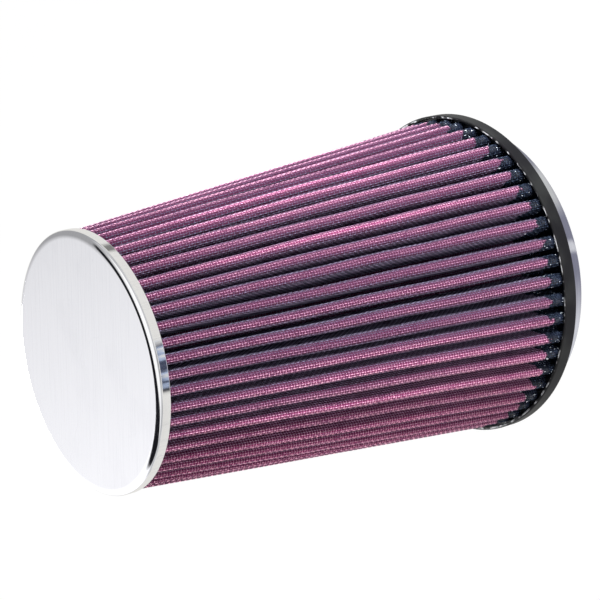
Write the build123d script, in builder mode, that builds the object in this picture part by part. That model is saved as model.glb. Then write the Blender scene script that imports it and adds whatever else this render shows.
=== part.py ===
from build123d import *
from math import cos, pi, radians, sin
import os

# A clamp-on cone air filter. It stands on the end of its neck, with the chrome end cap on top.
# Sizes are millimetres, and heights are measured up from the end of the neck.

# Base moulding
base_diameter = 152.4
rim_height = 6.6
rim_lip = 1.4
rim_chamfer = 0.5
channel_depth = 5.6
inlet_bore = 76.2
# the inlet opens out towards the pack, and a flat land is left between the taper and the channel
inlet_taper = 14.0
taper_width = 12.0
taper_land = 2.0
neck_wall = 4.0
neck_length = 16.0

# Base cup
cup_diameter = 137.0
cup_depth = 11.3
cup_sheet = 0.8
cup_bevel = 1.5

# End cap
cap_diameter = 114.3
cap_skirt = 5.5
cap_sheet = 0.8
cap_bevel = 1.5
body_height = 210.5

# Pleated pack
pleat_count = 51
pleat_depth = 15.0
# degrees that a pleat leans round the pack on its way from the base to the cap
pleat_lean = 5.1
# widths of the valleys' flat floors at the two ends
base_valley = 1.7
cap_valley = 0.8
crown_facets = 3
screen_thickness = 0.25
gauze_thickness = 0.7

# Potting resin under each end of the pack
base_resin = 3.0
cap_resin = 3.0

# Fits
pack_clearance = 0.4
layer_clearance = 0.05
bond_line = 0.05
# a bevel of this many sheets still leaves metal over the square inner corner
widest_bevel = 1.9

# Heights
cup_back = neck_length
rim_rear = cup_back + cup_depth
rim_top = rim_rear + rim_height
channel_floor = rim_top - channel_depth
cap_face = rim_rear + body_height
cap_inside = cap_face - cap_sheet
pack_bottom = channel_floor + base_resin
pack_top = cap_inside - cap_resin

# Radii
bore_radius = inlet_bore / 2
neck_radius = bore_radius + neck_wall
rim_radius = base_diameter / 2
channel_outside = rim_radius - rim_lip
base_crown = channel_outside - pack_clearance
channel_inside = base_crown - pleat_depth - pack_clearance
cup_radius = cup_diameter / 2
cup_inside = cup_radius - cup_sheet
cap_radius = cap_diameter / 2
skirt_inside = cap_radius - cap_sheet
cap_crown = skirt_inside - pack_clearance

# Insets of the layers' faces from the outer face of the pack
gauze_front = screen_thickness + layer_clearance
gauze_back = gauze_front + gauze_thickness
inner_screen_front = gauze_back + layer_clearance
pack_thickness = inner_screen_front + screen_thickness

os.makedirs("parts", exist_ok=True)


def fold_corners(height, crown_radius, valley_width, lean, inset):
    """Corners of the pack's fold at one height, every face set in from the outer face by the same inset.

    A crown is a half round of flat facets between parallel flanks, and a flat valley leads to the next.
    """
    half_turn = pi / pleat_count
    valley_radius = crown_radius - pleat_depth + pack_thickness
    half_width = valley_radius * sin(half_turn) - valley_width / 2 * cos(half_turn)
    flank = half_width - inset
    flank_foot = (valley_radius - inset - flank * sin(half_turn)) / cos(half_turn)
    crown_middle = crown_radius - half_width

    facet = pi / crown_facets
    shoulder = (pi / 2 - facet / 4, flank / cos(facet / 4))
    ridges = [(facet * number - pi / 2, flank / cos(facet / 2)) for number in range(1, crown_facets)]
    crown = [(-shoulder[0], shoulder[1])] + ridges + [shoulder]
    pleat = [(reach * sin(turn), crown_middle + reach * cos(turn)) for turn, reach in crown]
    pleat = [(-flank, flank_foot)] + pleat + [(flank, flank_foot)]

    corners = []
    for number in range(pleat_count):
        turn = 2 * half_turn * number - lean
        for across, out in pleat:
            x = out * sin(turn) + across * cos(turn)
            y = out * cos(turn) - across * sin(turn)
            corners.append(Vector(x, y, height))
    return corners


def pleated_layer(front, back):
    """One layer of the pack, in flat triangles from its fold at the base to its fold at the cap."""
    folds = {}
    walls = []
    for inset in (front, back):
        low = fold_corners(pack_bottom, base_crown, base_valley, 0, inset)
        high = fold_corners(pack_top, cap_crown, cap_valley, radians(pleat_lean), inset)
        folds[inset] = (low, high)
        for number in range(len(low)):
            walls.append(Face(Wire.make_polygon((low[number - 1], low[number], high[number]))))
            walls.append(Face(Wire.make_polygon((low[number - 1], high[number], high[number - 1]))))
    for outline, opening in zip(folds[front], folds[back]):
        walls.append(Face(Wire.make_polygon(outline), [Wire.make_polygon(opening)]))
    with BuildPart() as layer:
        add(Solid(Shell(walls)))
    return layer


# Chrome-plated steel cap over the small end
with BuildPart() as end_cap:
    with BuildSketch(Plane.XY.offset(cap_face - cap_skirt)):
        Circle(cap_radius)
    extrude(amount=cap_skirt)
    chamfer(end_cap.faces().sort_by(Axis.Z)[-1].edges(), min(cap_bevel, widest_bevel * cap_sheet))
    with BuildSketch(Plane.XY.offset(cap_face - cap_skirt)):
        Circle(skirt_inside)
    extrude(amount=cap_skirt - cap_sheet, mode=Mode.SUBTRACT)
end_cap.part.label = "end_cap"
export_step(end_cap.part, "parts/end_cap.step")

# Resin that the cap is filled with before the pack is set in it
with BuildPart() as cap_potting:
    with BuildSketch(Plane.XY.offset(pack_top)):
        Circle(skirt_inside - bond_line)
    extrude(amount=cap_resin)
cap_potting.part.label = "cap_potting"
export_step(cap_potting.part, "parts/cap_potting.step")

# Wire screen outside the cotton
outer_screen = pleated_layer(0, screen_thickness)
outer_screen.part.label = "outer_screen"
export_step(outer_screen.part, "parts/outer_screen.step")

# Oiled cotton gauze
cotton_gauze = pleated_layer(gauze_front, gauze_back)
cotton_gauze.part.label = "cotton_gauze"
export_step(cotton_gauze.part, "parts/cotton_gauze.step")

# Wire screen inside the cotton
inner_screen = pleated_layer(inner_screen_front, pack_thickness)
inner_screen.part.label = "inner_screen"
export_step(inner_screen.part, "parts/inner_screen.step")

# Resin in the base's channel
with BuildPart() as base_potting:
    with BuildSketch(Plane.XY.offset(channel_floor)):
        Circle(channel_outside - bond_line)
        Circle(channel_inside + bond_line, mode=Mode.SUBTRACT)
    extrude(amount=base_resin)
base_potting.part.label = "base_potting"
export_step(base_potting.part, "parts/base_potting.step")

# Urethane moulding: rim, channel for the pleats, flared inlet and clamp-on neck
with BuildPart() as base_moulding:
    with BuildSketch(Plane.XY):
        Circle(neck_radius)
    extrude(amount=rim_top)
    with BuildSketch(Plane.XY.offset(cup_back + cup_sheet)):
        Circle(cup_inside - bond_line)
    extrude(amount=rim_rear - cup_back - cup_sheet)
    with BuildSketch(Plane.XY.offset(rim_rear)):
        Circle(rim_radius)
    extrude(amount=rim_height)
    rim_edge = base_moulding.faces().sort_by(Axis.Z)[-1].outer_wire().edges()
    chamfer(rim_edge, min(rim_chamfer, rim_lip / 2))
    with BuildSketch(Plane.XY.offset(channel_floor)):
        Circle(channel_outside)
        Circle(channel_inside, mode=Mode.SUBTRACT)
    extrude(amount=channel_depth, mode=Mode.SUBTRACT)
    with BuildSketch(Plane.XY):
        Circle(bore_radius)
    extrude(amount=rim_top, mode=Mode.SUBTRACT)
    land = base_moulding.faces().sort_by(Axis.Z)[-2:].sort_by(SortBy.AREA)[-1]
    inlet_edge = land.inner_wires()[0].edge()
    widest_taper = channel_inside - bore_radius - taper_land
    chamfer(inlet_edge, min(taper_width, widest_taper), inlet_taper, reference=land)
base_moulding.part.label = "base_moulding"
export_step(base_moulding.part, "parts/base_moulding.step")

# Polished steel cup round the back of the moulding
with BuildPart() as base_cup:
    with BuildSketch(Plane.XY.offset(cup_back)):
        Circle(cup_radius)
    extrude(amount=cup_depth)
    chamfer(base_cup.faces().sort_by(Axis.Z)[0].edges(), min(cup_bevel, widest_bevel * cup_sheet))
    with BuildSketch(Plane.XY.offset(cup_back + cup_sheet)):
        Circle(cup_inside)
    extrude(amount=cup_depth - cup_sheet, mode=Mode.SUBTRACT)
    with BuildSketch(Plane.XY.offset(cup_back)):
        Circle(neck_radius + bond_line)
    extrude(amount=cup_sheet, mode=Mode.SUBTRACT)
base_cup.part.label = "base_cup"
export_step(base_cup.part, "parts/base_cup.step")
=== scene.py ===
"""The looks of a clamp-on cone air filter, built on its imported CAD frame.

A chrome end cap and a black urethane base hold a pleated pack: red-oiled cotton gauze under woven wire, with
its ends set in glossy resin. Everything is in metres in the frame's own axes, where +Z runs from the neck to
the cap.
"""

from __future__ import annotations

import logging
import math
from abc import ABC, abstractmethod
from dataclasses import dataclass, replace
from enum import Enum
from typing import Any, Mapping, Optional, Sequence, Union

import bpy
import numpy as np
from mathutils import Matrix, Vector

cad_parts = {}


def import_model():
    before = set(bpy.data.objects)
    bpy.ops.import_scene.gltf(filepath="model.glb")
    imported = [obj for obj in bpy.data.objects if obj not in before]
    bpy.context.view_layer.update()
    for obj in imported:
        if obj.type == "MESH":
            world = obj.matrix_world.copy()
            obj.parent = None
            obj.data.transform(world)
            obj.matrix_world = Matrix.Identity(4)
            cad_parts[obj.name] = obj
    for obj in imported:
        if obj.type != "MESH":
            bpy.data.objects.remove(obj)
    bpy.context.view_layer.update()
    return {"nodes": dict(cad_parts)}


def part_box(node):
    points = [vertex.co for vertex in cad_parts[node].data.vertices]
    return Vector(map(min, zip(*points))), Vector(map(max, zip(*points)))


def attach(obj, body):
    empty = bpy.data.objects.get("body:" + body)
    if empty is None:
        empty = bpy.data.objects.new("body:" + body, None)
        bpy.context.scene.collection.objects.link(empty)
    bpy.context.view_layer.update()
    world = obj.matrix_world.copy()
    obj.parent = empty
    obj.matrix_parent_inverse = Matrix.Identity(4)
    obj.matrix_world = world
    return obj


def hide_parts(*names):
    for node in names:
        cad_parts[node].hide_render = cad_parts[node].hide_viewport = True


LOG = logging.getLogger("cone_air_filter")
MM = 0.001
BODY = "root"
WEAVE_MAP = "weave"
UP = (0.0, 0.0, 1.0)
# A Mix node's sockets for its factor, its two colours and the colour between them
MIX_FACTOR, MIX_FIRST, MIX_SECOND, MIX_RESULT = 0, 6, 7, 2

Colour = tuple[float, float, float, float]
Point = tuple[float, float, float]
# Two values, most often where a smooth step starts and where it ends
Span = tuple[float, float]


class Slot(Enum):
    """The pieces' material slots."""

    CHROME = "chrome"
    STEEL = "polished_steel"
    WIRE = "wire_screen"
    COTTON = "cotton"
    RESIN = "resin"
    URETHANE = "urethane"


class Signal:
    """An output socket of a shader node. Python's operators on it add Math nodes."""

    def __init__(self, shader: Shader, socket: bpy.types.NodeSocket) -> None:
        """Wraps one output socket of a shader's tree."""
        self.shader = shader
        self.socket = socket

    def __add__(self, other: Feed) -> Signal:
        """This value plus another."""
        return self.shader.maths("ADD", self, other)

    def __sub__(self, other: Feed) -> Signal:
        """This value minus another."""
        return self.shader.maths("SUBTRACT", self, other)

    def __rsub__(self, other: Feed) -> Signal:
        """Another value minus this one."""
        return self.shader.maths("SUBTRACT", other, self)

    def __mul__(self, other: Feed) -> Signal:
        """This value times another."""
        return self.shader.maths("MULTIPLY", self, other)

    def __pow__(self, power: Feed) -> Signal:
        """This value raised to a power."""
        return self.shader.maths("POWER", self, power)

    def __abs__(self) -> Signal:
        """The value without its sign."""
        return self.shader.maths("ABSOLUTE", self)

    __radd__ = __add__
    __rmul__ = __mul__

    def ridges(self, count: float = 1.0) -> Signal:
        """Rounded ridges from 0 to 1, so many to each unit of the value."""
        return abs(self.shader.maths("COSINE", self * (math.pi * count)))

    def at_most(self, other: Feed) -> Signal:
        """The smaller of two values."""
        return self.shader.maths("MINIMUM", self, other)

    def at_least(self, other: Feed) -> Signal:
        """The larger of two values."""
        return self.shader.maths("MAXIMUM", self, other)

    def rise(self, start: Feed, end: Feed) -> Signal:
        """A smooth step of the value, from 0 at its start to 1 at its end, which may lie below the start."""
        ends = {"Value": self, "From Min": start, "From Max": end}
        return self.shader.node("ShaderNodeMapRange", {"interpolation_type": "SMOOTHSTEP"}, ends)

    def parts(self) -> tuple[Signal, Signal, Signal]:
        """The X, Y and Z of a vector."""
        split = self.shader.node("ShaderNodeSeparateXYZ", None, {0: self}).socket.node
        return tuple(Signal(self.shader, socket) for socket in split.outputs)

    def off_axis(self) -> Signal:
        """The distance of a point from the filter's axis."""
        x, y, _ = self.parts()
        return (x * x + y * y) ** 0.5


Feed = Union[Signal, float, Sequence[float]]


class Shader:
    """A node tree, with one method that adds any node."""

    def __init__(self, tree: bpy.types.NodeTree) -> None:
        """Empties the tree that the nodes go in."""
        self.tree = tree
        tree.nodes.clear()

    def node(self, kind: str, settings: Optional[Mapping[str, Any]] = None,
             inputs: Optional[Mapping[Union[str, int], Feed]] = None,
             output: Union[str, int] = 0) -> Optional[Signal]:
        """Adds a node.

        Args:
            kind: The node's Blender type.
            settings: Its properties, which are set first.
            inputs: The value or link of each socket, by name or number.
            output: The output socket that is wanted.

        Returns:
            That output, or None from a node that has no outputs.
        """
        node = self.tree.nodes.new(kind)
        for name, value in (settings or {}).items():
            setattr(node, name, value)
        for name, value in (inputs or {}).items():
            if isinstance(value, Signal):
                self.tree.links.new(value.socket, node.inputs[name])
            else:
                node.inputs[name].default_value = value
        return Signal(self, node.outputs[output]) if len(node.outputs) else None

    def maths(self, operation: str, *values: Feed) -> Signal:
        """A Math node's result for one or two values."""
        return self.node("ShaderNodeMath", {"operation": operation}, dict(enumerate(values)))

    def tint(self, base: Feed, *coats: tuple[Feed, Feed]) -> Feed:
        """Lays colours over a base, one after the other.

        Args:
            base: The colour under them all.
            coats: Where each colour lies, from 0 to 1, and the colour.

        Returns:
            The colour that is seen.
        """
        for mask, tone in coats:
            inputs = {MIX_FACTOR: mask, MIX_FIRST: base, MIX_SECOND: tone}
            base = self.node("ShaderNodeMix", {"data_type": "RGBA"}, inputs, MIX_RESULT)
        return base

    def place(self) -> Signal:
        """The point on the object, in metres."""
        return self.node("ShaderNodeTexCoord", output="Object")

    def uv(self) -> Signal:
        """The point on the weave map: wires across and along, or wires crossed and a wire's number."""
        return self.node("ShaderNodeUVMap", {"uv_map": WEAVE_MAP})

    def vector(self, x: Feed, y: Feed, z: Feed) -> Signal:
        """A vector from its three parts."""
        return self.node("ShaderNodeCombineXYZ", inputs={"X": x, "Y": y, "Z": z})

    def rays(self) -> list[Signal]:
        """Whether the camera sees the point, and whether a polished part mirrors it."""
        return [self.node("ShaderNodeLightPath", output=f"Is {kind} Ray") for kind in ("Camera", "Glossy")]

    def bump(self, height: Signal, depth: float, under: Optional[Signal] = None) -> Signal:
        """A normal that is bent by a height.

        Args:
            height: The height, from 0 to 1.
            depth: The real depth of one unit of height.
            under: The normal that it is laid over, if any.

        Returns:
            The bent normal.
        """
        inputs: dict[Union[str, int], Feed] = {"Height": height, "Distance": depth}
        if under is not None:
            inputs["Normal"] = under
        return self.node("ShaderNodeBump", None, inputs)

    def surface(self, **inputs: Feed) -> None:
        """Ends the material in one Principled shader, with spaces in the sockets' names as underscores."""
        named = {name.replace("_", " "): value for name, value in inputs.items()}
        skin = self.node("ShaderNodeBsdfPrincipled", None, named)
        self.node("ShaderNodeOutputMaterial", None, {"Surface": skin})


def colour(red: float, green: float, blue: float) -> Colour:
    """A linear colour with full alpha."""
    return (red, green, blue, 1.0)


@dataclass(frozen=True)
class Mottle:
    """Noise with so many lumps to each unit of length, and the step and weight that make patches of it."""

    scale: float
    detail: float = 2.0
    step: Span = (0.0, 1.0)
    weight: float = 1.0

    def noise(self, where: Signal) -> Signal:
        """The noise at a point, from 0 to 1."""
        inputs = {"Vector": where, "Scale": self.scale, "Detail": self.detail}
        return where.shader.node("ShaderNodeTexNoise", None, inputs)

    def patches(self, where: Signal) -> Signal:
        """The patches at a point, 0 between them and their weight in them, with soft edges."""
        return self.noise(where).rise(*self.step) * self.weight

    def wander(self, where: Signal, reach: float) -> Signal:
        """A drift by up to half the reach to either side."""
        return (self.noise(where) - 0.5) * reach


class Finish(ABC):
    """A finish that fills a material of its own."""

    name: str

    @abstractmethod
    def paint(self, shader: Shader) -> None:
        """Fills a shader with the finish."""

    def material(self) -> bpy.types.Material:
        """A new material with the finish."""
        material = bpy.data.materials.new(self.name)
        material.use_nodes = True
        self.paint(Shader(material.node_tree))
        return material


@dataclass(frozen=True)
class FoldDepth:
    """How deep in the folds a point of the pack lies, under the straight line of the crowns."""

    crown_at_floor: float = 77.25 * MM
    taper: float = 0.0910
    full: float = 1.8 * MM
    inside: float = 14.2 * MM
    inner_face: float = 14.6 * MM
    # The -X side gets less painted shade: where, and by how much.
    less_shaded_side: Span = (-15.0 * MM, -50.0 * MM)
    less_shaded_by: float = 0.45

    def below(self, place: Signal) -> Signal:
        """The depth of a point of the object."""
        return self.crown_at_floor - place.parts()[2] * self.taper - place.off_axis()

    def fold_shade(self, place: Signal) -> Signal:
        """How much painted shade darkens a point down the folds. The -X side gets less of it than the other.

        Args:
            place: The point on the object.

        Returns:
            The painted shade, from 0 on the crowns to 1 down the folds.
        """
        # Painted shade: darker the deeper a point lies in the folds, with less of it on the -X side.
        below = self.below(place)
        deep = (below.at_least(0.0) * (1 / self.full)).at_most(1.0) ** 0.5
        deep = deep * below.rise(self.inner_face, self.inside)
        return deep * (1 - place.parts()[0].rise(*self.less_shaded_side) * self.less_shaded_by)


@dataclass(frozen=True)
class SoakLine:
    """How far the potting resin has wicked up the pleats from the base, further up in the folds."""

    height: float = 38.2 * MM
    lumps: Mottle = Mottle(1 / (3.4 * MM))
    wander: float = 9.0 * MM
    blur: float = 1.5 * MM
    climb: float = 0.9
    deepest: float = 5.0 * MM
    fold: FoldDepth = FoldDepth()

    def mask(self, place: Signal) -> Signal:
        """Where a surface is soaked.

        Args:
            place: The point on the object.

        Returns:
            1 below the line and 0 above it.
        """
        edge = self.lumps.wander(place, self.wander) + self.height
        edge = edge + self.fold.below(place).at_least(0.0).at_most(self.deepest) * self.climb
        return (place.parts()[2] - edge).rise(self.blur, 0.0)


@dataclass(frozen=True)
class ChromeFinish(Finish):
    """Polished plating with brushed hairlines that all run one way."""

    name: str = "chrome_plate"
    pale: Colour = colour(0.93, 0.93, 0.94)
    dull: Colour = colour(0.80, 0.80, 0.82)
    grain: Mottle = Mottle(1.0, 3.0, (0.45, 0.75), 0.35)
    grain_angle: float = math.radians(-23.5)
    grain_fineness: float = 2600.0
    grain_length: float = 28.0
    grain_depth: float = 0.004 * MM
    smears: Mottle = Mottle(45.0, 3.0, (0.45, 0.8), 0.35)
    scratched: Mottle = Mottle(70.0, 1.0, (0.58, 0.68))
    scratch_bends: Mottle = Mottle(90.0, 1.0)
    scratch_swerve: float = 22.0 * MM
    scratch_cells: float = 38.0
    scratch_width: float = 0.006
    scratch_wear: float = 0.5
    roughness: float = 0.05
    worn_roughness: float = 0.16

    def paint(self, shader: Shader) -> None:
        """Fills a shader with the plating.

        Args:
            shader: The shader to fill.
        """
        place = shader.place()
        x, y, z = place.parts()
        turn, lean = math.cos(self.grain_angle), math.sin(self.grain_angle)
        along = (x * turn + y * lean) * self.grain_length
        across = (y * turn - x * lean) * self.grain_fineness
        brushed = shader.vector(along, across, z * self.grain_length)
        swerve = self.scratch_bends.wander(place, self.scratch_swerve)
        bent = shader.vector(x + swerve, y - swerve, z)
        cells = {"Vector": bent, "Scale": self.scratch_cells, "Randomness": 1.0}
        crack = shader.node("ShaderNodeTexVoronoi", {"feature": "DISTANCE_TO_EDGE"}, cells)
        scratch = crack.rise(self.scratch_width, 0.0) * self.scratched.patches(place)
        wear = self.grain.patches(brushed) + self.smears.patches(place) + scratch * self.scratch_wear
        wear = wear.at_most(1.0)
        shader.surface(
            Base_Color=shader.tint(self.pale, (wear, self.dull)),
            Metallic=1.0,
            Roughness=wear * self.worn_roughness + self.roughness,
            Normal=shader.bump(self.grain.noise(brushed) - scratch, self.grain_depth),
        )


@dataclass(frozen=True)
class SteelFinish(Finish):
    """Polished steel with the fine rings of a spinning polish."""

    name: str = "polished_steel_cup"
    pale: Colour = colour(0.74, 0.75, 0.79)
    dull: Colour = colour(0.55, 0.56, 0.60)
    rings: Mottle = Mottle(1.0, 2.0, (0.4, 0.75), 0.4)
    ring_fineness: float = 1900.0
    ring_change: float = 4.0
    ring_depth: float = 0.003 * MM
    smears: Mottle = Mottle(60.0, 3.0, (0.45, 0.8), 0.5)
    roughness: float = 0.07
    worn_roughness: float = 0.2

    def paint(self, shader: Shader) -> None:
        """Fills a shader with the steel.

        Args:
            shader: The shader to fill.
        """
        place = shader.place()
        x, _, z = place.parts()
        out = place.off_axis()
        spun = shader.vector(out * self.ring_fineness, z * self.ring_fineness, x * self.ring_change)
        wear = (self.rings.patches(spun) + self.smears.patches(place)).at_most(1.0)
        shader.surface(
            Base_Color=shader.tint(self.pale, (wear, self.dull)),
            Metallic=1.0,
            Roughness=wear * self.worn_roughness + self.roughness,
            Normal=shader.bump(self.rings.noise(spun), self.ring_depth),
        )


@dataclass(frozen=True)
class UrethaneFinish(Finish):
    """Satin black urethane as it comes out of the mould, with a broken pale line painted on the rim's edge as
    a highlight.
    """

    name: str = "moulded_urethane"
    black: Colour = colour(0.006, 0.006, 0.007)
    bloom: Colour = colour(0.015, 0.016, 0.016)
    # Painted highlight along the rim's edge.
    edge_highlight: Colour = colour(0.72, 0.74, 0.76)
    cloud: Mottle = Mottle(55.0, 4.0, (0.4, 0.75))
    cloud_roughness: float = 0.16
    skin: Mottle = Mottle(1400.0)
    skin_depth: float = 0.012 * MM
    skin_roughness: float = 0.08
    swell: Mottle = Mottle(160.0)
    swell_share: float = 3.0
    # Where the painted highlight lies on the rim's edge, and its breaks.
    highlight_breaks: Mottle = Mottle(230.0, 2.0, (0.47, 0.62))
    highlight_outer: Span = (75.80 * MM, 75.55 * MM)
    highlight_inner: Span = (74.35 * MM, 74.75 * MM)
    highlight_up: Span = (33.5 * MM, 33.7 * MM)
    roughness: float = 0.36
    specular: float = 0.18

    def paint(self, shader: Shader) -> None:
        """Fills a shader with the urethane.

        Args:
            shader: The shader to fill.
        """
        place = shader.place()
        out = place.off_axis()
        skin = self.skin.noise(place)
        # A broken line of painted highlight on the rim's edge.
        edge = out.rise(*self.highlight_outer) * place.parts()[2].rise(*self.highlight_up)
        highlight_line = edge * self.highlight_breaks.patches(place) * out.rise(*self.highlight_inner)
        tone = shader.tint(self.black, (self.cloud.patches(place), self.bloom), (highlight_line, self.edge_highlight))
        rough = self.cloud.noise(place) * self.cloud_roughness + skin * self.skin_roughness
        shader.surface(
            Base_Color=tone,
            Roughness=rough + self.roughness,
            Normal=shader.bump(skin + self.swell.noise(place) * self.swell_share, self.skin_depth),
            Specular_IOR_Level=self.specular,
        )


@dataclass(frozen=True)
class ResinFinish(Finish):
    """Glossy blue-black potting resin with a lumpy skin."""

    name: str = "potting_resin"
    deep: Colour = colour(0.004, 0.005, 0.009)
    thin: Colour = colour(0.012, 0.016, 0.030)
    lumps: Mottle = Mottle(900.0)
    lump_depth: float = 0.16 * MM
    cloud: Mottle = Mottle(180.0, 2.0, (0.35, 0.7))
    cloud_roughness: float = 0.18
    roughness: float = 0.10
    coat: float = 0.6
    coat_roughness: float = 0.06

    def paint(self, shader: Shader) -> None:
        """Fills a shader with the resin.

        Args:
            shader: The shader to fill.
        """
        place = shader.place()
        cloud = self.cloud.noise(place)
        shader.surface(
            Base_Color=shader.tint(self.deep, (self.cloud.patches(place), self.thin)),
            Roughness=cloud * self.cloud_roughness + self.roughness,
            Normal=shader.bump(self.lumps.noise(place) + cloud, self.lump_depth),
            Coat_Weight=self.coat,
            Coat_Roughness=self.coat_roughness,
        )


@dataclass(frozen=True)
class CottonFinish(Finish):
    """Red-oiled cotton gauze that bulges a little through the wire, black with resin at the base."""

    name: str = "oiled_cotton"
    oiled: Colour = colour(0.23, 0.013, 0.098)
    # Oil-soaked red for the blotches, also used as painted shade in the gaps between threads.
    soaked_red_and_gap_shade: Colour = colour(0.11, 0.006, 0.050)
    dry: Colour = colour(0.35, 0.050, 0.18)
    # Painted shade down the folds.
    fold_shade_tone: Colour = colour(0.050, 0.014, 0.036)
    resin: Colour = colour(0.006, 0.008, 0.014)
    threads: float = 3.0
    thread_depth: float = 0.05 * MM
    thread_gaps: Span = (0.9, 0.3)
    gap_shade: float = 0.5
    bulge: float = 0.16 * MM
    blotches: Mottle = Mottle(120.0, 3.0, (0.35, 0.7), 0.6)
    fuzz: Mottle = Mottle(2500.0)
    fuzz_dryness: float = 1.5
    fold_shade_step: Span = (0.05, 0.55)
    fold_shade_weight: float = 0.92
    roughness: float = 0.08
    fuzz_roughness: float = 0.1
    dry_roughness: float = 0.43
    wet_coat: float = 0.5
    coat_roughness: float = 0.2
    specular: float = 0.12
    soak: SoakLine = SoakLine()

    def paint(self, shader: Shader) -> None:
        """Fills a shader with the cotton.

        Args:
            shader: The shader to fill.
        """
        place = shader.place()
        across, along, _ = shader.uv().parts()
        pillow = across.ridges() * along.ridges()
        thread = across.ridges(self.threads).at_least(along.ridges(self.threads))
        fuzz = self.fuzz.noise(place)
        wet = self.soak.mask(place)
        tone = shader.tint(
            self.oiled,
            (self.blotches.patches(place), self.soaked_red_and_gap_shade),
            ((pillow * fuzz * self.fuzz_dryness).at_most(1.0), self.dry),
            # Painted shade in the gaps between the gauze's threads.
            (thread.rise(*self.thread_gaps) * self.gap_shade, self.soaked_red_and_gap_shade),
            # Painted shade down the folds.
            (self.soak.fold.fold_shade(place).rise(*self.fold_shade_step) * self.fold_shade_weight, self.fold_shade_tone),
            (wet, self.resin),
        )
        shader.surface(
            Base_Color=tone,
            Roughness=(1 - wet) * self.dry_roughness + fuzz * self.fuzz_roughness + self.roughness,
            Normal=shader.bump(thread + fuzz, self.thread_depth, shader.bump(pillow, self.bulge)),
            Coat_Weight=wet * self.wet_coat,
            Coat_Roughness=self.coat_roughness,
            Specular_IOR_Level=self.specular,
        )


@dataclass(frozen=True)
class WireFinish(Finish):
    """Fine woven aluminium wire: pale on its knuckles, which also carry a painted highlight, stained with red
    oil between them, black in the resin.

    Down the folds, painted shade turns the pale knuckles plum and then slate.
    """

    name: str = "woven_wire"
    # The wire's pale colour, with a painted highlight on the raised knuckles.
    lit_knuckle: Colour = colour(0.93, 0.54, 0.70)
    stained: Colour = colour(0.15, 0.062, 0.135)
    # Painted shade down the folds: the knuckles turn plum, then slate, and the stain darkens.
    plum_shaded_knuckle: Colour = colour(0.25, 0.120, 0.205)
    slate_shaded_knuckle: Colour = colour(0.195, 0.175, 0.265)
    fold_shade_tone: Colour = colour(0.040, 0.036, 0.055)
    # A painted highlight on the knuckles in the resin.
    wet_lit_knuckle: Colour = colour(0.05, 0.07, 0.11)
    # Painted glints: sparse bright specks in the resin.
    painted_glint: Colour = colour(0.75, 0.83, 0.92)
    resin: Colour = colour(0.008, 0.011, 0.020)
    crimp: float = 0.10 * MM
    knuckle_step: Span = (-0.1, 0.8)
    between_stain: float = 0.85
    blotches: Mottle = Mottle(260.0, 2.0, (0.5, 0.8), 0.35)
    wet_blotches: Mottle = Mottle(260.0, 2.0, (0.3, 0.6))
    glints: Mottle = Mottle(700.0, 0.0, (0.73, 0.78))
    plum_step: Span = (0.15, 0.65)
    slate_step: Span = (0.42, 0.82)
    roughness: float = 0.30
    stain_roughness: float = 0.22
    wet_roughness: float = 0.16
    metallic: float = 0.10
    specular: float = 0.08
    soak: SoakLine = SoakLine()

    def shade(self, shader: Shader, run: Signal, number: Signal, alpha: Feed = 1.0) -> None:
        """Ends a shader in this finish.

        Args:
            shader: The shader to fill.
            run: Wires crossed along the wire.
            number: The wire's own number, which sets whether it goes over or under first.
            alpha: Where the wire is, on a surface that also has the gaps.
        """
        place = shader.place()
        wave = shader.maths("COSINE", (run - 0.5 + number) * math.pi)
        # Where the knuckles carry their painted highlight; red oil stain lies between them.
        lit_knuckle = wave.rise(*self.knuckle_step)
        stain = ((1 - lit_knuckle) * self.between_stain + self.blotches.patches(place)).at_most(1.0)
        wet = self.soak.mask(place)
        # In the resin: a painted highlight on some knuckles, and sparse painted glints.
        dark = shader.tint(
            self.resin,
            (lit_knuckle * self.wet_blotches.patches(place), self.wet_lit_knuckle),
            (self.glints.patches(place), self.painted_glint),
        )
        # Painted shade down the folds.
        fold_shade = self.soak.fold.fold_shade(place)
        tone = shader.tint(
            self.lit_knuckle,
            (fold_shade.rise(*self.plum_step), self.plum_shaded_knuckle),
            (fold_shade.rise(*self.slate_step), self.slate_shaded_knuckle),
            (stain, shader.tint(self.stained, (fold_shade, self.fold_shade_tone))),
            (wet, dark),
        )
        dry_roughness = stain * self.stain_roughness + self.roughness
        shader.surface(
            Base_Color=tone,
            Metallic=self.metallic,
            Specular_IOR_Level=self.specular,
            Roughness=(1 - wet) * dry_roughness + wet * self.wet_roughness,
            Normal=shader.bump(wave, self.crimp),
            Alpha=alpha,
        )

    def paint(self, shader: Shader) -> None:
        """Fills the shader of modelled wires, whose map holds wires crossed and the wire's number."""
        run, number, _ = shader.uv().parts()
        self.shade(shader, run, number)


@dataclass(frozen=True)
class MeshFinish(Finish):
    """The same wire on one surface, with its gaps cut out by alpha."""

    name: str = "woven_wire_sheet"
    wire: WireFinish = WireFinish()
    wire_edge: Span = (0.11, 0.17)

    def paint(self, shader: Shader) -> None:
        """Fills a shader with the wire and its gaps.

        Args:
            shader: The shader to fill.
        """
        across, along, _ = shader.uv().parts()
        off_wires = [abs(shader.maths("FRACT", count) - 0.5) for count in (across, along)]
        gaps = [off.rise(*self.wire_edge) for off in off_wires]
        self.wire.shade(shader, along, shader.maths("FLOOR", across), 1 - gaps[0] * gaps[1])


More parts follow.
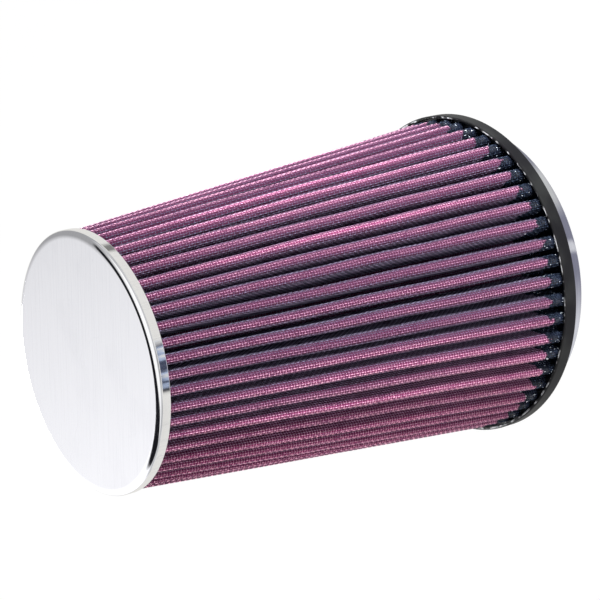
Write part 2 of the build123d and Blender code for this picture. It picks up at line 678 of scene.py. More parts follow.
@dataclass(frozen=True)
class Shade:
    """A patch of the floor that only the polished parts see, by its angle and distance from the axis.

    It is full within a share of its half sizes and fades out from there.
    """

    azimuth: float
    half_angle: float
    out: float
    half_out: float
    tone: Colour
    full_angle_share: float = 0.25
    full_out_share: float = 0.5

    def coat(self, around: Signal, out: Signal) -> tuple[Signal, Colour]:
        """The patch as a coat of colour.

        Args:
            around: The angle about the axis, in degrees.
            out: The distance from the axis.

        Returns:
            Where the patch lies, from 0 to 1, and its colour.
        """
        aside = abs(around - self.azimuth).rise(self.half_angle, self.half_angle * self.full_angle_share)
        within = abs(out - self.out).rise(self.half_out, self.half_out * self.full_out_share)
        return aside * within, self.tone


@dataclass(frozen=True)
class FloorFinish(Finish):
    """A pale studio floor that the camera sees as white and the polished parts as patchy, open from below."""

    name: str = "pale_floor"
    bounce: Colour = colour(0.25, 0.25, 0.26)
    glow: Colour = colour(1.0, 1.0, 1.0)
    mirrored: Colour = colour(0.80, 0.79, 0.76)
    strength: float = 1.05
    shadow: float = 0.05
    warp: Mottle = Mottle(14.0)
    warp_angle: float = 14.0
    warp_out: float = 0.05
    # Painted dark and light patches further out, seen only in the polished parts' reflections.
    clutter: Mottle = Mottle(26.0, 1.0, (0.62, 0.56))
    clutter_lights: Mottle = Mottle(26.0, 1.0, (0.44, 0.50))
    clutter_tones: tuple[Colour, Colour] = (colour(0.05, 0.06, 0.10), colour(0.40, 0.48, 0.66))
    clutter_azimuth: float = -104.0
    clutter_aside: Span = (20.0, 14.0)
    clutter_inner: Span = (0.3, 0.36)
    clutter_outer: Span = (0.6, 0.56)
    # Patches that only the polished parts mirror: the wide dark one near the axis is a painted shadow round
    # the base, the rest painted shade and light.
    shades: tuple[Shade, ...] = (
        Shade(-121.0, 8.0, 0.46, 0.08, colour(0.04, 0.04, 0.05)),
        Shade(-107.0, 4.0, 0.46, 0.08, colour(0.45, 0.26, 0.26)),
        Shade(8.0, 9.0, 0.455, 0.08, colour(0.22, 0.22, 0.21)),
        Shade(-80.0, 95.0, 0.06, 0.09, colour(0.27, 0.27, 0.34)),
        Shade(-58.0, 18.0, 0.09, 0.03, colour(0.72, 0.72, 0.70)),
        Shade(-91.0, 4.5, 0.09, 0.03, colour(0.80, 0.80, 0.82)),
        Shade(-140.0, 38.0, 0.09, 0.03, colour(0.82, 0.82, 0.85)),
        Shade(0.0, 30.0, 0.09, 0.03, colour(0.60, 0.60, 0.58)),
    )

    def paint(self, shader: Shader) -> None:
        """Fills a shader with the floor.

        Args:
            shader: The shader to fill.
        """
        camera, glossy = shader.rays()
        place = shader.place()
        x, y, _ = place.parts()
        around = shader.maths("ARCTAN2", y, x) * math.degrees(1.0) + self.warp.wander(place, self.warp_angle)
        out = place.off_axis() + self.warp.wander(place, self.warp_out)
        shades = [shade.coat(around, out) for shade in self.shades]
        clutter = abs(around - self.clutter_azimuth).rise(*self.clutter_aside)
        clutter = clutter * out.rise(*self.clutter_inner) * out.rise(*self.clutter_outer)
        dark_things, light_things = self.clutter_tones
        things = shader.tint(dark_things, (self.clutter_lights.patches(place), light_things))
        clutter_coat = (clutter * self.clutter.patches(place), things)
        seen = shader.tint(self.mirrored, *shades, clutter_coat, (camera, self.glow))
        diffuse = shader.node("ShaderNodeBsdfDiffuse", None, {"Color": self.bounce})
        glow = shader.node("ShaderNodeEmission", None, {"Color": seen, "Strength": self.strength})
        lit = camera.at_least(glossy) * (1 - self.shadow)
        top = shader.node("ShaderNodeMixShader", None, {0: lit, 1: diffuse, 2: glow})
        below = shader.node("ShaderNodeNewGeometry", output="Backfacing")
        open_air = shader.node("ShaderNodeBsdfTransparent")
        both = shader.node("ShaderNodeMixShader", None, {0: below, 1: top, 2: open_air})
        shader.node("ShaderNodeOutputMaterial", None, {"Surface": both})


def mesh_piece(name: str, points: np.ndarray, faces: np.ndarray,
               uv: Optional[np.ndarray] = None) -> bpy.types.Object:
    """A smooth mesh object from arrays.

    Args:
        name: The piece's name.
        points: Its points, in any grid of rows of three.
        faces: Four point numbers for each face.
        uv: The weave map's two numbers for each face's corners, if it has one.

    Returns:
        The object, in the scene.
    """
    mesh = bpy.data.meshes.new(name)
    mesh.vertices.add(points.size // 3)
    mesh.vertices.foreach_set("co", np.ascontiguousarray(points, np.float32).ravel())
    mesh.loops.add(faces.size)
    mesh.loops.foreach_set("vertex_index", np.ascontiguousarray(faces, np.int32).ravel())
    mesh.polygons.add(len(faces))
    mesh.polygons.foreach_set("loop_start", np.arange(0, faces.size, faces.shape[1], dtype=np.int32))
    mesh.polygons.foreach_set("use_smooth", np.ones(len(faces), bool))
    if uv is not None:
        mesh.uv_layers.new(name=WEAVE_MAP, do_init=False)
        mesh.uv_layers[WEAVE_MAP].uv.foreach_set("vector", np.ascontiguousarray(uv, np.float32).ravel())
    mesh.update(calc_edges=True)
    mesh.validate()
    piece = bpy.data.objects.new(name, mesh)
    bpy.context.scene.collection.objects.link(piece)
    return piece


def dress(piece: bpy.types.Object, material: bpy.types.Material, slot: Slot, *nodes: str) -> None:
    """Gives a new piece its material and body.

    Args:
        piece: The piece.
        material: Its material.
        slot: The slot that it takes its finish from. It is not used.
        nodes: The CAD nodes that it stands for.
    """
    piece.data.materials.append(material)
    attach(piece, BODY)
    if nodes:
        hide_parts(*nodes)
    stands_for = ", ".join(nodes) or "itself"
    LOG.info("%s: %d faces, stands for %s", piece.name, len(piece.data.polygons), stands_for)


def grid_faces(rows: int, columns: int, wrap_rows: bool, wrap_columns: bool) -> np.ndarray:
    """Faces between the points of a grid.

    Args:
        rows: Rows of points.
        columns: Points in each row.
        wrap_rows: Whether the last row joins the first.
        wrap_columns: Whether each row is a ring.

    Returns:
        Four point numbers for each face.
    """
    row = np.arange(rows if wrap_rows else rows - 1)[:, None]
    column = np.arange(columns if wrap_columns else columns - 1)[None, :]
    here, above = row * columns, (row + 1) % rows * columns
    beside = (column + 1) % columns
    return np.stack((here + column, above + column, above + beside, here + beside), axis=-1).reshape(-1, 4)


def unit(vectors: np.ndarray) -> np.ndarray:
    """Vectors of the same directions, each one unit long."""
    return vectors / np.linalg.norm(vectors, axis=-1, keepdims=True)


def around_rings(rings: np.ndarray) -> np.ndarray:
    """The way along each closed ring of points, at each of its points."""
    return np.roll(rings, -1, axis=1) - np.roll(rings, 1, axis=1)


@dataclass(frozen=True)
class Corner:
    """A corner of a turned profile, with the radius that rounds it."""

    out: float
    up: float
    round: float = 0.0


@dataclass(frozen=True)
class Turning:
    """A piece that is turned about the filter's axis from a profile with rounded corners."""

    name: str
    corners: tuple[Corner, ...]
    closed: bool = True
    turns: int = 180
    round_steps: int = 6
    hold: float = 0.12 * MM

    def profile(self) -> np.ndarray:
        """The profile's points, with arcs at the rounded corners and points that keep the straights flat."""
        points: list[np.ndarray] = []
        places = [np.array((corner.out, corner.up)) for corner in self.corners]
        for number, corner in enumerate(self.corners):
            here = places[number]
            ends = not self.closed and number in (0, len(places) - 1)
            if ends or not corner.round:
                points.append(here)
                continue
            back = unit(places[number - 1] - here)
            ahead = unit(places[(number + 1) % len(places)] - here)
            half = math.acos(float(np.clip(back @ ahead, -1, 1))) / 2
            reach = corner.round / math.tan(half)
            middle = here + unit(back + ahead) * corner.round / math.sin(half)
            start, end = here + back * reach - middle, here + ahead * reach - middle
            sweep = math.pi - 2 * half
            points.append(here + back * (reach + self.hold))
            for step in range(self.round_steps + 1):
                share = step / self.round_steps
                arc = start * math.sin((1 - share) * sweep) + end * math.sin(share * sweep)
                points.append(middle + arc / math.sin(sweep))
            points.append(here + ahead * (reach + self.hold))
        return np.array(points)

    def build(self) -> bpy.types.Object:
        """Turns the profile into a mesh piece."""
        profile = self.profile()
        turn = np.linspace(0, 2 * math.pi, self.turns, endpoint=False)
        out, up = profile[:, :1], profile[:, 1:]
        points = np.stack(np.broadcast_arrays(out * np.sin(turn), out * np.cos(turn), up), axis=-1)
        return mesh_piece(self.name, points, grid_faces(len(profile), self.turns, self.closed, True))


@dataclass(frozen=True)
class Pleats:
    """The fold of the pack: where each of its layers lies at any height."""

    low: float
    high: float
    base_crown: float
    cap_crown: float
    count: int = 51
    depth: float = 15.0 * MM
    thickness: float = 1.3 * MM
    base_valley: float = 1.7 * MM
    cap_valley: float = 0.8 * MM
    crown_steps: int = 8
    flank_steps: int = 2
    valley_steps: int = 4
    lean: float = math.radians(0.5)
    bow: float = math.radians(0.45)
    ripple: float = math.radians(0.16)
    ripple_bends: float = 5.0
    ripple_spread: float = 2.0
    skew: float = math.radians(5.1)
    plumpness: float = 0.035
    lift: float = 0.3 * MM
    seed: int = 51

    def share(self, heights: np.ndarray) -> np.ndarray:
        """How far up the pack each height is, from 0 to 1."""
        return (heights - self.low) / (self.high - self.low)

    def unevenness(self, share: np.ndarray) -> tuple[np.ndarray, np.ndarray, np.ndarray]:
        """The slight disorder of hand-folded pleats.

        Args:
            share: How far up the pack each row is.

        Returns:
            Each pleat's sideways turn in each row, the factor of its width, and its crown's lift in each row.
        """
        chance = np.random.default_rng(self.seed)
        at_base, at_cap, bow, wave, phase, width, crown = chance.uniform(-1, 1, (7, self.count))
        up = share[:, None]
        belly = np.sin(math.pi * np.clip(up, 0, 1))
        sway = self.lean * (at_base * (1 - up) + at_cap * up) + self.bow * bow * belly - self.skew * up
        bends = self.ripple_bends + self.ripple_spread * wave
        sway = sway + self.ripple * belly * np.sin(math.pi * (up * bends + phase))
        return sway, 1 + self.plumpness * width, self.lift * crown * belly

    def rows(self, heights: np.ndarray, inset: Union[float, np.ndarray]) -> np.ndarray:
        """Points of one layer.

        Args:
            heights: The height of each row of points.
            inset: How far the layer lies inside the pack's outer face, in all or for each row and pleat.

        Returns:
            The points, as rows of pleats of points, round the pack in turn.
        """
        share = self.share(heights)
        sway, plump, lift = self.unevenness(share)
        inset = np.broadcast_to(inset, sway.shape)
        half_turn = math.pi / self.count
        crown = (self.base_crown + (self.cap_crown - self.base_crown) * share)[:, None]
        gap = (self.base_valley + (self.cap_valley - self.base_valley) * share)[:, None] / 2
        floor = crown - self.depth + self.thickness
        half_width = (floor * math.sin(half_turn) - gap * math.cos(half_turn)) * plump
        reach = half_width - inset
        middle = crown + lift - half_width
        turn = 2 * half_turn * np.arange(self.count) + sway

        def placed(across: np.ndarray, out: np.ndarray, angle: np.ndarray) -> np.ndarray:
            """Plan points from distances across and out along pleats at these angles."""
            x = out * np.sin(angle) + across * np.cos(angle)
            return np.stack((x, out * np.cos(angle) - across * np.sin(angle)), axis=-1)

        def stretch(start: np.ndarray, end: np.ndarray) -> np.ndarray:
            """The points of a flank between its two ends, without them."""
            part = (np.arange(1, self.flank_steps) / self.flank_steps)[:, None]
            return start[..., None, :] * (1 - part) + end[..., None, :] * part

        bend = np.linspace(-math.pi / 2, math.pi / 2, self.crown_steps + 1)
        radius = reach[..., None]
        arc = placed(radius * np.sin(bend), middle[..., None] + radius * np.cos(bend), turn[..., None])
        foot = floor + gap
        down = placed(reach, foot, turn)
        rise = np.roll(placed(-reach, foot, turn), -1, axis=1)
        centre = (down + rise) / 2
        dip = centre - unit(centre) * (floor - inset)[..., None]
        bend = np.linspace(0, math.pi, self.valley_steps + 1)[:, None]
        half = (rise - down) / 2
        valley = centre[..., None, :] - half[..., None, :] * np.cos(bend) - dip[..., None, :] * np.sin(bend)
        next_arc = np.roll(arc[..., 0, :], -1, axis=1)
        plan = (arc, stretch(arc[..., -1, :], down), valley, stretch(rise, next_arc))
        plan = np.concatenate(plan, axis=2)
        up = np.broadcast_to(heights[:, None, None, None], plan.shape[:-1] + (1,))
        return np.concatenate((plan, up), axis=-1)

    def joined(self, points: np.ndarray) -> np.ndarray:
        """The points of each pleat, with the first of the next pleat added."""
        return np.concatenate((points, np.roll(points, -1, axis=1)[:, :, :1]), axis=2)

    def runs(self, points: np.ndarray) -> np.ndarray:
        """How far along its own pleat each point is.

        Args:
            points: A layer's points, as rows of pleats of points.

        Returns:
            The share of the pleat's length, from 0, with the next pleat's start added at 1.
        """
        steps = np.linalg.norm(np.diff(self.joined(points), axis=2), axis=-1)
        length = np.concatenate((np.zeros_like(steps[..., :1]), np.cumsum(steps, axis=2)), axis=2)
        return length / length[..., -1:]


@dataclass(frozen=True)
class Weave:
    """The wire screen's mesh: wires to each pleat, and wires up the pack."""

    per_pleat: int = 25
    rings: int = 150
    wire_radius: float = 0.16 * MM

    def sheet_map(self, pleats: Pleats, points: np.ndarray) -> np.ndarray:
        """The weave map of a sheet of the pack.

        Args:
            pleats: The pack's fold.
            points: The sheet's points, as rows of pleats of points.

        Returns:
            Wires across and along for every point, with one more column for the end of the ring.
        """
        run = pleats.runs(points)
        pleat = np.arange(pleats.count)[:, None]
        across = ((pleat + run[..., :-1]) * self.per_pleat).reshape(len(points), -1)
        last = np.full((len(points), 1), float(pleats.count * self.per_pleat))
        across = np.concatenate((across, last), axis=1)
        along = pleats.share(points[:, 0, 0, 2]) * self.rings
        return np.stack((across, np.broadcast_to(along[:, None], across.shape)), axis=-1)


def tube_piece(name: str, paths: np.ndarray, outward: np.ndarray, runs: np.ndarray, numbers: np.ndarray,
               radius: float, closed: bool, sides: int = 3) -> bpy.types.Object:
    """Many thin wires as one mesh piece.

    Args:
        name: The piece's name.
        paths: The wires' centre points, one row for each wire.
        outward: The outward direction at each point.
        runs: Wires crossed at each point, with one more at the end of a closed wire.
        numbers: Each wire's own number.
        radius: The wires' radius.
        closed: Whether each wire is a ring.
        sides: Flat sides of a wire.

    Returns:
        The piece, with runs and numbers in its weave map.
    """
    along = unit(around_rings(paths) if closed else np.gradient(paths, axis=1))
    side = unit(np.cross(along, outward))
    top = np.cross(side, along)
    bend = np.arange(sides) * 2 * math.pi / sides
    ring = top[..., None, :] * np.cos(bend)[:, None] + side[..., None, :] * np.sin(bend)[:, None]
    points = paths[..., None, :] + ring * radius
    wires, stations = paths.shape[:2]
    one = grid_faces(stations, sides, closed, True)
    faces = (np.arange(wires)[:, None, None] * stations * sides + one).reshape(-1, 4)
    pieces = stations if closed else stations - 1
    start = np.repeat(runs[:, :pieces], sides, axis=1)
    end = np.repeat(runs[:, 1:pieces + 1], sides, axis=1)
    run = np.stack((start, end, end, start), axis=-1)
    uv = np.stack((run, np.broadcast_to(numbers[:, None, None], run.shape)), axis=-1)
    return mesh_piece(name, points, faces, uv)


@dataclass(frozen=True)
class PleatedPack:
    """The pack: woven wire outside and inside a layer of oiled cotton."""

    pleats: Pleats
    weave: Weave = Weave()
    cotton_front: float = 0.30 * MM
    cotton_back: float = 1.00 * MM
    inner_screen: float = 1.175 * MM
    sheet_rows: int = 22
    soak_rows: int = 14
    soak_height: float = 12.0 * MM
    wire_rows: int = 13
    wire_nudge: float = 0.2
    ring_wire_steps: tuple[int, int, int] = (6, 1, 2)
    ring_wire_pieces: int = 3
    wire_tuck: float = 0.08 * MM

    def sheet(self, name: str, insets: Sequence[float]) -> bpy.types.Object:
        """A pleated sheet, or a closed layer between two faces.

        Args:
            name: The piece's name.
            insets: The inset of its one face, or of its front and its back.

        Returns:
            The piece, with the weave's map.
        """
        fold = self.pleats
        near = np.linspace(fold.low, fold.low + self.soak_height, self.soak_rows, endpoint=False)
        heights = np.concatenate((near, np.linspace(fold.low + self.soak_height, fold.high, self.sheet_rows)))
        sides = [fold.rows(heights, inset) for inset in insets]
        maps = [self.weave.sheet_map(fold, points) for points in sides]
        closed = len(insets) == 2
        points = np.concatenate((sides[0], sides[1][::-1])) if closed else sides[0]
        weave = np.concatenate((maps[0], maps[1][::-1])) if closed else maps[0]
        rows, ring = len(points), points.shape[1] * points.shape[2]
        faces = grid_faces(rows, ring, closed, True)
        wide = grid_faces(rows, ring + 1, closed, False)
        return mesh_piece(name, points, faces, weave.reshape(-1, 2)[wide])

    def long_wires(self, name: str) -> bpy.types.Object:
        """The wires that run from the base to the cap.

        Args:
            name: The piece's name.

        Returns:
            The piece.
        """
        fold, weave = self.pleats, self.weave
        heights = np.linspace(fold.low, fold.high, self.wire_rows)
        points = fold.rows(heights, weave.wire_radius)
        run, points = fold.runs(points), fold.joined(points)
        target = (np.arange(weave.per_pleat) + 0.5) / weave.per_pleat
        nudge = self.wire_nudge / weave.per_pleat

        def read(where: np.ndarray) -> np.ndarray:
            """The points of each wire, at these places along each pleat's run."""
            found = np.empty(points.shape[:2] + (len(where), 3))
            for row, pleat, axis in np.ndindex(*points.shape[:2], 3):
                along = points[row, pleat, :, axis]
                found[row, pleat, :, axis] = np.interp(where, run[row, pleat], along)
            return found.reshape(len(points), -1, 3).swapaxes(0, 1)

        paths = read(target)
        outward = np.cross(UP, read(target + nudge) - read(target - nudge))
        runs = np.broadcast_to(fold.share(heights) * weave.rings, paths.shape[:2])
        return tube_piece(name, paths, outward, runs, np.arange(len(paths)), weave.wire_radius, False)

    def ring_wires(self, name: str, first: int, last: int) -> bpy.types.Object:
        """Some of the wires that run round the pack through every fold.

        Args:
            name: The piece's name.
            first: The number of its lowest wire.
            last: One more than the number of its highest wire.

        Returns:
            The piece.
        """
        crown, flank, valley = self.ring_wire_steps
        fold = replace(self.pleats, crown_steps=crown, flank_steps=flank, valley_steps=valley)
        numbers = np.arange(first, last)
        heights = fold.low + (numbers + 0.5) / self.weave.rings * (fold.high - fold.low)
        points = fold.rows(heights, self.weave.wire_radius + self.wire_tuck)
        runs = self.weave.sheet_map(fold, points)[..., 0]
        paths = points.reshape(len(points), -1, 3)
        outward = np.cross(UP, around_rings(paths))
        return tube_piece(name, paths, outward, runs, numbers + 1, self.weave.wire_radius, True)

    def cotton_strip(self) -> tuple[float, float, float]:
        """The flat cotton: its length at the base, its height up the pack and its area."""
        fold = self.pleats
        heights = np.linspace(fold.low, fold.high, self.sheet_rows)
        rows = fold.rows(heights, (self.cotton_front + self.cotton_back) / 2).reshape(len(heights), -1, 3)
        around = np.linalg.norm(np.roll(rows, -1, axis=1) - rows, axis=-1).sum(axis=1)
        up = np.linalg.norm(np.diff(rows, axis=0), axis=-1).sum(axis=0).mean()
        return float(around.max()), float(up), float(around.mean() * up)

    def build(self) -> None:
        """Builds and dresses the pack's layers."""
        wire = WireFinish().material()
        cotton = self.sheet("cotton_layer", (self.cotton_front, self.cotton_back))
        dress(cotton, CottonFinish().material(), Slot.COTTON, "cotton_gauze")
        length, height, area = self.cotton_strip()
        LOG.info("cotton strip, laid flat: %.3f m at the base, %.3f m tall, %.3f m2", length, height, area)
        inner = self.sheet("inner_wire_screen", (self.inner_screen,))
        dress(inner, MeshFinish().material(), Slot.WIRE, "inner_screen")
        dress(self.long_wires("screen_long_wires"), wire, Slot.WIRE, "outer_screen")
        cuts = np.linspace(0, self.weave.rings, self.ring_wire_pieces + 1).astype(int)
        for number, (first, last) in enumerate(zip(cuts[:-1], cuts[1:]), 1):
            piece = self.ring_wires(f"screen_ring_wires_{number}", int(first), int(last))
            dress(piece, wire, Slot.WIRE, "outer_screen")


@dataclass(frozen=True)
class ResinSkin:
    """The resin that has climbed the large ends of the pleats, thick at the rim and thinner higher up."""

    pleats: Pleats
    height: float = 10.5 * MM
    unevenness: float = 1.6 * MM
    rows: int = 22
    shallow: float = 0.22 * MM
    sunk: float = 0.46 * MM
    seed: int = 7

    def build(self) -> None:
        """Builds and dresses the skin."""
        fold = self.pleats
        chance = np.random.default_rng(self.seed)
        top = self.height + self.unevenness * chance.uniform(-1, 1, fold.count)
        heights = np.linspace(fold.low, fold.low + self.height + 2 * self.unevenness, self.rows)
        share = np.clip((heights[:, None] - fold.low) / top, 0, 1)
        inset = self.shallow + (self.sunk - self.shallow) * share ** 2
        points = fold.rows(heights, inset)
        faces = grid_faces(self.rows, points.shape[1] * points.shape[2], False, True)
        piece = mesh_piece("resin_on_pleat_ends", points, faces)
        dress(piece, ResinFinish().material(), Slot.RESIN)


@dataclass(frozen=True)
class EndCap:
    """The chrome cap over the small end, whose face rolls slowly and then quickly into the skirt."""

    radius: float
    low: float
    high: float
    sheet: float = 0.8 * MM
    slope_width: float = 2.2 * MM
    slope_drop: float = 1.03 * MM
    slow_roll: float = 6.0 * MM
    quick_roll: float = 1.3 * MM
    inner_edge: float = 1.7 * MM
    lip: float = 0.3 * MM
    round_steps: int = 10

    def build(self) -> None:
        """Builds and dresses the cap."""
        inside = self.radius - self.sheet
        corners = (
            Corner(0.0, self.high),
            Corner(self.radius - self.slope_width, self.high, self.slow_roll),
            Corner(self.radius, self.high - self.slope_drop, self.quick_roll),
            Corner(self.radius, self.low, self.lip),
            Corner(inside, self.low, self.lip),
            Corner(inside, self.high - self.sheet, self.inner_edge),
            Corner(0.0, self.high - self.sheet),
        )
        cap = Turning("chrome_end_cap", corners, closed=False, round_steps=self.round_steps)
        dress(cap.build(), ChromeFinish().material(), Slot.CHROME, "end_cap")


@dataclass(frozen=True)
class BaseCup:
    """The polished steel cup round the back of the base."""

    radius: float
    low: float
    high: float
    hole: float
    sheet: float = 0.8 * MM
    edge: float = 1.5 * MM
    inner_edge: float = 0.7 * MM
    lip: float = 0.2 * MM

    def build(self) -> None:
        """Builds and dresses the cup."""
        inside = self.radius - self.sheet
        corners = (
            Corner(self.radius, self.high, self.lip),
            Corner(self.radius, self.low, self.edge),
            Corner(self.hole, self.low, self.lip),
            Corner(self.hole, self.low + self.sheet, self.lip),
            Corner(inside, self.low + self.sheet, self.inner_edge),
            Corner(inside, self.high, self.lip),
        )
        cup = Turning("polished_base_cup", corners)
        dress(cup.build(), SteelFinish().material(), Slot.STEEL, "base_cup")


@dataclass(frozen=True)
class BaseMoulding:
    """The urethane base: rim, channel for the pleats, flared inlet and clamp-on neck."""

    rim: float
    high: float
    cup_low: float
    cup_high: float
    cup_radius: float
    bore: float = 38.1 * MM
    neck: float = 42.1 * MM
    neck_edge: float = 1.0 * MM
    cup_sheet: float = 0.85 * MM
    channel_out: float = 74.8 * MM
    channel_in: float = 59.0 * MM
    channel_depth: float = 5.6 * MM
    channel_corner: float = 0.5 * MM
    channel_inner_edge: float = 0.8 * MM
    channel_outer_edge: float = 0.45 * MM
    rim_edge: float = 0.6 * MM
    flare: float = 50.1 * MM
    flare_depth: float = 14.0 * MM
    flare_throat: float = 9.0 * MM
    flare_edge: float = 3.0 * MM

    def build(self) -> None:
        """Builds and dresses the moulding."""
        flange = self.cup_radius - self.cup_sheet
        shoulder = self.cup_low + self.cup_sheet
        floor = self.high - self.channel_depth
        corners = (
            Corner(self.bore, 0.0, self.neck_edge),
            Corner(self.bore, self.high - self.flare_depth, self.flare_throat),
            Corner(self.flare, self.high, self.flare_edge),
            Corner(self.channel_in, self.high, self.channel_inner_edge),
            Corner(self.channel_in, floor, self.channel_corner),
            Corner(self.channel_out, floor, self.channel_corner),
            Corner(self.channel_out, self.high, self.channel_outer_edge),
            Corner(self.rim, self.high, self.rim_edge),
            Corner(self.rim, self.cup_high, self.rim_edge),
            Corner(flange, self.cup_high),
            Corner(flange, shoulder),
            Corner(self.neck, shoulder),
            Corner(self.neck, 0.0, self.neck_edge),
        )
        base = Turning("urethane_base", corners)
        dress(base.build(), UrethaneFinish().material(), Slot.URETHANE, "base_moulding")


@dataclass(frozen=True)
class PottingRings:
    """The resin under both ends of the pack, which keeps its CAD form."""

    nodes: tuple[str, ...] = ("base_potting", "cap_potting")

    def dress(self, cad: Mapping[str, bpy.types.Object]) -> None:
        """Gives the CAD resin its finish.

        Args:
            cad: The frame's nodes by name.
        """
        resin = ResinFinish().material()
        for name in self.nodes:
            cad[name].data.materials.clear()
            cad[name].data.materials.append(resin)
            LOG.info("%s: resin on its CAD form", name)


@dataclass(frozen=True)
class PhotoCamera:
    """The camera at the photograph's angle, on its side as the photograph lays the filter down."""

    place: Point = (0.0078, -0.74596, 0.6342)
    azimuth: float = math.radians(0.19)
    depression: float = math.radians(34.36)
    roll: float = math.radians(103.5)
    lens: float = 120.02
    sensor: float = 36.0

    def build(self) -> None:
        """Adds the camera to the scene."""
        flat, drop = math.cos(self.depression), math.sin(self.depression)
        ahead = Vector((-math.sin(self.azimuth) * flat, math.cos(self.azimuth) * flat, -drop))
        right = Matrix.Rotation(self.roll, 3, ahead) @ ahead.cross(Vector(UP)).normalized()
        turned = Matrix((right, right.cross(ahead), -ahead)).transposed()
        data = bpy.data.cameras.new("photo_camera")
        data.lens, data.sensor_width = self.lens, self.sensor
        camera = bpy.data.objects.new("photo_camera", data)
        camera.matrix_world = Matrix.Translation(self.place) @ turned.to_4x4()
        bpy.context.scene.collection.objects.link(camera)
        bpy.context.scene.camera = camera


@dataclass(frozen=True)
class SoftBox:
    """A square, soft studio lamp with a narrowed beam."""

    name: str
    place: Point
    watts: float
    tone: tuple[float, float, float] = (1.0, 1.0, 1.0)
    side: float = 0.4
    aim: Point = (0.0, 0.0, 0.08)
    spread: float = math.radians(46)
    mirrored: bool = False

    def build(self) -> None:
        """Adds the lamp to the scene."""
        data = bpy.data.lights.new(self.name, "AREA")
        data.shape = "SQUARE"
        data.size = self.side
        data.energy = self.watts
        data.color = self.tone
        data.spread = self.spread
        lamp = bpy.data.objects.new(self.name, data)
        lamp.location = self.place
        lamp.rotation_mode = "QUATERNION"
        lamp.rotation_quaternion = (Vector(self.aim) - Vector(self.place)).to_track_quat("-Z", "Y")
        lamp.visible_camera = False
        lamp.visible_glossy = self.mirrored
        bpy.context.scene.collection.objects.link(lamp)


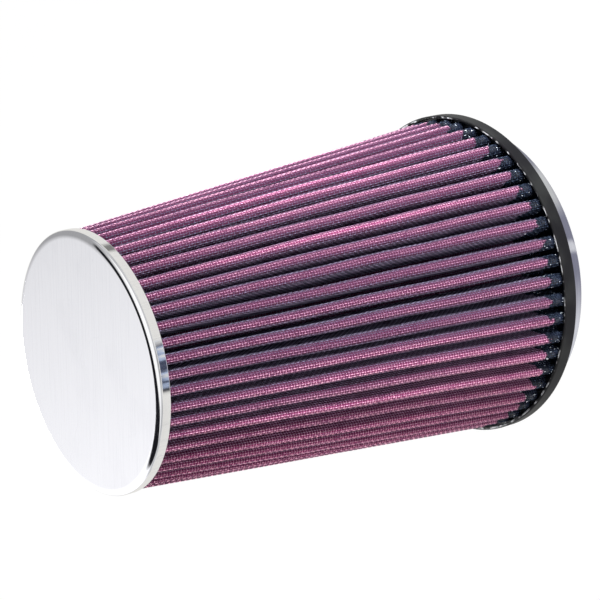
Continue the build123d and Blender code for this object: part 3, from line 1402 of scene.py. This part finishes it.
@dataclass(frozen=True)
class Studio:
    """The floor, the surroundings and the lamps."""

    floor_half: float = 4.0
    backdrop: Colour = colour(1.0, 1.0, 1.0)
    surroundings: Colour = colour(0.070, 0.072, 0.090)
    clutter: Mottle = Mottle(2.2, 1.0, (0.38, 0.62))
    mirrored: tuple[Colour, Colour] = (colour(0.24, 0.25, 0.27), colour(0.72, 0.73, 0.75))
    ceiling: Colour = colour(0.55, 0.55, 0.56)
    ceiling_step: Span = (0.25, 0.5)
    zenith: Colour = colour(1.05, 1.05, 1.05)
    zenith_step: Span = (0.66, 0.80)
    overhead: Colour = colour(0.010, 0.010, 0.013)
    overhead_step: Span = (0.61, 0.67)
    overhead_side: Span = (0.35, 0.42)
    overhead_slant: float = 0.4
    card: Colour = colour(0.92, 0.92, 0.95)
    card_step: Span = (0.30, 0.60)
    card_slope: float = 1.9
    card_level: float = 0.97
    card_levels: Span = (0.4, 1.3)
    lamps: tuple[SoftBox, ...] = (
        SoftBox("top", (0.89, 0.22, 0.22), 1.4),
        SoftBox("front_top", (0.60, -0.72, 0.22), 1.75, side=0.3),
        SoftBox("front", (-0.10, -0.93, 0.22), 0.18, (0.95, 0.97, 1.0)),
        SoftBox("low", (-0.42, -0.82, 0.22), 0.64, (1.0, 0.90, 0.86)),
        SoftBox("back", (-0.10, 0.93, 0.22), 1.0, aim=(0.0, 0.0, -0.05), mirrored=True),
    )

    def world(self) -> None:
        """Fills the surroundings, which the camera sees as white.

        They light the filter dimly, with one dark patch overhead and a white card behind it. Polished parts
        mirror the patch and the card, and for the rest a patchy room under a bright ceiling.
        """
        world = bpy.data.worlds.new("studio")
        bpy.context.scene.world = world
        world.use_nodes = True
        shader = Shader(world.node_tree)
        camera, glossy = shader.rays()
        towards = shader.node("ShaderNodeTexCoord", output="Generated")
        x, y, z = towards.parts()
        dark = z.rise(*self.overhead_step) * (y - x * self.overhead_slant).rise(*self.overhead_side)
        behind = y.rise(*self.card_step) * (1 - dark)
        faintest, brightest = self.card_levels
        level = (x * -self.card_slope + self.card_level).at_least(faintest).at_most(brightest)
        card = shader.node("ShaderNodeVectorMath", {"operation": "SCALE"}, {0: self.card[:3], "Scale": level})
        mirrored = shader.tint(
            self.mirrored[0],
            (self.clutter.patches(towards), self.mirrored[1]),
            (z.rise(*self.ceiling_step), self.ceiling),
            (z.rise(*self.zenith_step), self.zenith),
        )
        room = shader.tint(self.surroundings, (glossy, mirrored), (dark, self.overhead), (behind, card))
        seen = shader.tint(room, (camera, self.backdrop))
        glow = shader.node("ShaderNodeBackground", None, {"Color": seen})
        shader.node("ShaderNodeOutputWorld", None, {"Surface": glow})

    def build(self) -> None:
        """Builds the floor, the surroundings and the lamps."""
        half = self.floor_half
        points = np.array(((-half, -half, 0), (half, -half, 0), (half, half, 0), (-half, half, 0)), float)
        floor = mesh_piece("pale_floor", points, np.array(((0, 1, 2, 3),)))
        floor.data.materials.append(FloorFinish().material())
        self.world()
        for lamp in self.lamps:
            lamp.build()
        bpy.context.scene.view_settings.view_transform = "Standard"


@dataclass(frozen=True)
class ConeAirFilter:
    """The whole filter, with its sizes read from the frame."""

    pack_clearance: float = 0.4 * MM

    def build(self, cad: Mapping[str, bpy.types.Object]) -> None:
        """Builds every sub-assembly on its CAD nodes.

        Args:
            cad: The frame's nodes by name.
        """
        nodes = ("outer_screen", "end_cap", "base_cup", "base_moulding")
        screen, cap, cup, base = (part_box(name) for name in nodes)
        end_cap = EndCap(cap[1].x, cap[0].z, cap[1].z)
        cap_crown = end_cap.radius - end_cap.sheet - self.pack_clearance
        pleats = Pleats(screen[0].z, screen[1].z, screen[1].y, cap_crown)
        moulding = BaseMoulding(base[1].x, base[1].z, cup[0].z, cup[1].z, cup[1].x)
        end_cap.build()
        PleatedPack(pleats).build()
        ResinSkin(pleats).build()
        moulding.build()
        BaseCup(cup[1].x, cup[0].z, cup[1].z, moulding.neck).build()
        PottingRings().dress(cad)


def corners(box: tuple[Vector, Vector]) -> list[list[float]]:
    """A box as plain lists of numbers."""
    return [list(corner) for corner in box]


def main() -> None:
    """Loads the frame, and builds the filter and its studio."""
    logging.basicConfig(level=logging.INFO, format="%(name)s: %(message)s")
    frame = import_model()
    ConeAirFilter().build(frame["nodes"])
    Studio().build()
    PhotoCamera().build()


if __name__ == "__main__":
    main()
